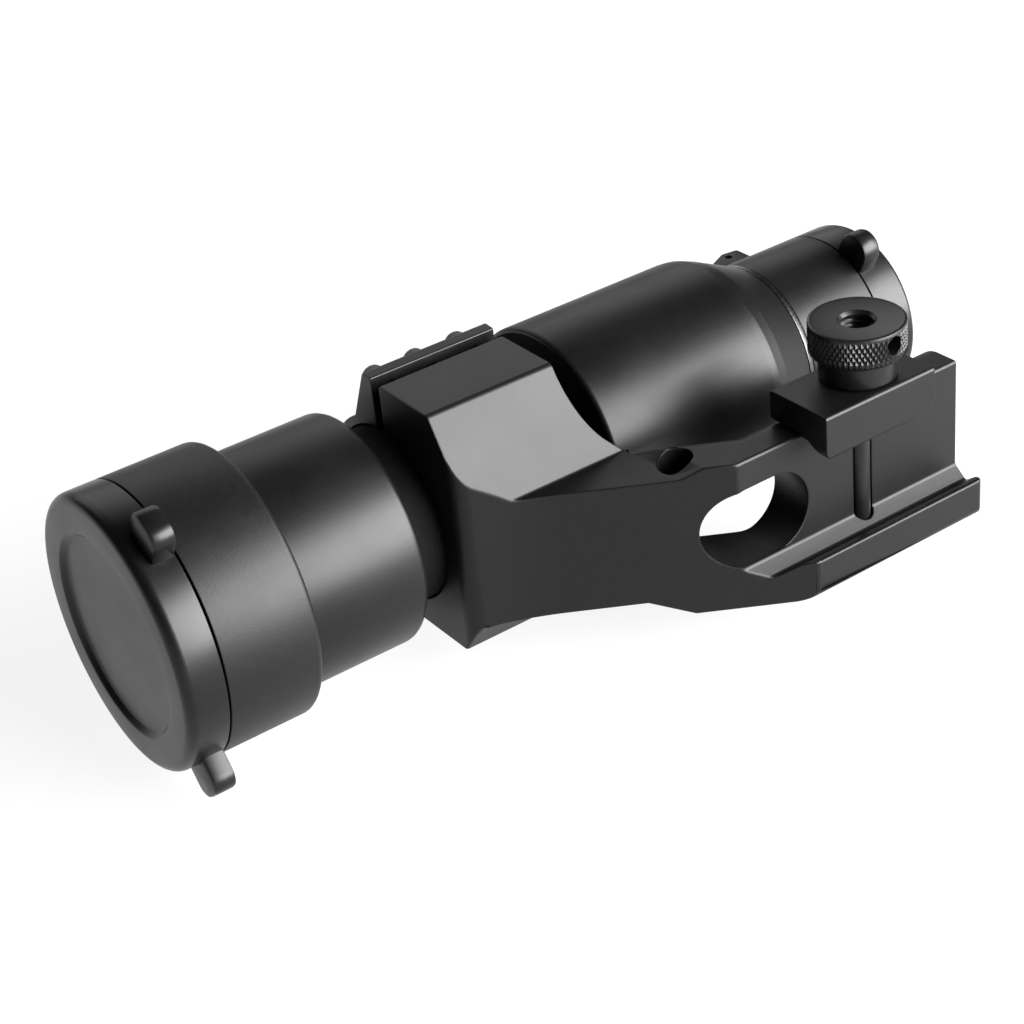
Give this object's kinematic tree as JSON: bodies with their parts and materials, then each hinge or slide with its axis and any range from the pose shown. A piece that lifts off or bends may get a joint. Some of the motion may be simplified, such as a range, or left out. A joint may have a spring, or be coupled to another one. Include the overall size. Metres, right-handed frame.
{
  "type": "finder scope",
  "caption": "Compact sighting scope with push-on lens caps, held in a split ring on a cantilever mount whose sliding jaw and knurled nut clamp it to an accessory rail.",
  "frame": {"origin": "on the rail seat of the mount, in the scope's centre plane", "axes": "+X along the optical axis towards the eyepiece, +Y from the rail to the scope, +Z along the clamp bolt towards its knurled nut"},
  "size_m": [0.1545, 0.0728, 0.0501],
  "materials": {
    "black_anodised": "satin black, bead blasted and anodised",
    "black_steel": "black oxide, satin",
    "cap_rubber": "smooth matt",
    "matt_black": "flat black, non-reflecting",
    "optical_glass": "polished and coated",
    "brass": "machined",
    "spring_steel": "bright wire",
    "seal_rubber": "matt"
  },
  "bodies": {
    "mount": {"cantilever_mount": "black_anodised", "ring_strap": "black_anodised", "objective_bell": "black_anodised", "front_barrel": "black_anodised", "main_tube": "black_anodised", "taper_adapter": "black_anodised", "eyepiece_housing": "black_anodised", "elevation_turret_base": "black_anodised", "windage_turret_base": "black_anodised", "clamp_bolt": "black_steel", "ring_screw_1": "black_steel", "ring_screw_2": "black_steel", "ring_screw_3": "black_steel", "joint_ring": "black_steel", "neck_lock_ring": "black_steel", "objective_retaining_ring": "matt_black", "objective_spacer": "matt_black", "barrel_baffle": "matt_black", "neck_baffle": "matt_black", "prism_cage": "matt_black", "eyepiece_field_stop": "matt_black", "eyepiece_spacer": "matt_black", "eyepiece_retaining_ring": "matt_black", "objective_crown_lens": "optical_glass", "objective_flint_lens": "optical_glass", "prism_front": "optical_glass", "prism_rear": "optical_glass", "eyepiece_field_lens": "optical_glass", "eyepiece_eye_lens": "optical_glass", "reticle_spring": "spring_steel", "bell_seal_ring": "seal_rubber"},
    "jaw": {"clamp_jaw": "black_anodised"},
    "nut": {"clamp_nut": "black_steel"},
    "front_cap": {"front_cap": "cap_rubber"},
    "rear_cap": {"rear_cap": "cap_rubber"},
    "elevation_cap": {"elevation_turret_cap": "black_anodised"},
    "windage_cap": {"windage_turret_cap": "black_anodised"},
    "elevation_dial": {"elevation_dial": "brass"},
    "windage_dial": {"windage_dial": "brass"},
    "elevation_plunger": {"elevation_plunger": "black_steel"},
    "windage_plunger": {"windage_plunger": "black_steel"},
    "carrier": {"reticle_carrier": "matt_black"},
    "cell": {"reticle_cell": "brass", "reticle_glass": "optical_glass", "reticle_crosshair": "spring_steel"}
  },
  "joints": [
    {"name": "jaw_slide", "type": "slide", "parent": "mount", "child": "jaw", "axis": [0, 0, 1], "range_m": [0, 0.00401]},
    {"name": "nut_spin", "type": "hinge", "parent": "jaw", "child": "nut", "pos_m": [0.0035, 0.0009, 0], "axis": [0, 0, 1], "range_deg": [0, 1800]},
    {"name": "front_cap_pull", "type": "slide", "parent": "mount", "child": "front_cap", "axis": [-1, 0, 0], "range_m": [0, 0.025]},
    {"name": "rear_cap_pull", "type": "slide", "parent": "mount", "child": "rear_cap", "axis": [1, 0, 0], "range_m": [0, 0.02]},
    {"name": "elevation_cap_pull", "type": "slide", "parent": "mount", "child": "elevation_cap", "axis": [0, 1, 0], "range_m": [0, 0.012]},
    {"name": "windage_cap_pull", "type": "slide", "parent": "mount", "child": "windage_cap", "axis": [0, 0, -1], "range_m": [0, 0.012]},
    {"name": "elevation_dial_turn", "type": "hinge", "parent": "mount", "child": "elevation_dial", "pos_m": [0.0253, 0.0423, 0], "axis": [0, 1, 0], "range_deg": [-360, 360]},
    {"name": "elevation_plunger_travel", "type": "slide", "parent": "mount", "child": "elevation_plunger", "axis": [0, -1, 0], "range_m": [-0.00051, 0.00051]},
    {"name": "elevation_travel", "type": "slide", "parent": "mount", "child": "carrier", "axis": [0, -1, 0], "range_m": [-0.00051, 0.00051]},
    {"name": "windage_dial_turn", "type": "hinge", "parent": "mount", "child": "windage_dial", "pos_m": [0.0253, 0.0423, 0], "axis": [0, 0, -1], "range_deg": [-360, 360]},
    {"name": "windage_plunger_travel", "type": "slide", "parent": "mount", "child": "windage_plunger", "axis": [0, 0, 1], "range_m": [-0.00051, 0.00051]},
    {"name": "windage_travel", "type": "slide", "parent": "carrier", "child": "cell", "axis": [0, 0, 1], "range_m": [-0.00051, 0.00051]}
  ],
  "couplings": [
    {"joint": "jaw_slide", "follows": "nut_spin", "m_per_rad": 0.00012732},
    {"joint": "elevation_plunger_travel", "follows": "elevation_dial_turn", "m_per_rad": 0.000079577},
    {"joint": "elevation_travel", "follows": "elevation_dial_turn", "m_per_rad": 0.000079577},
    {"joint": "windage_plunger_travel", "follows": "windage_dial_turn", "m_per_rad": 0.000079577},
    {"joint": "windage_travel", "follows": "windage_dial_turn", "m_per_rad": 0.000079577}
  ]
}
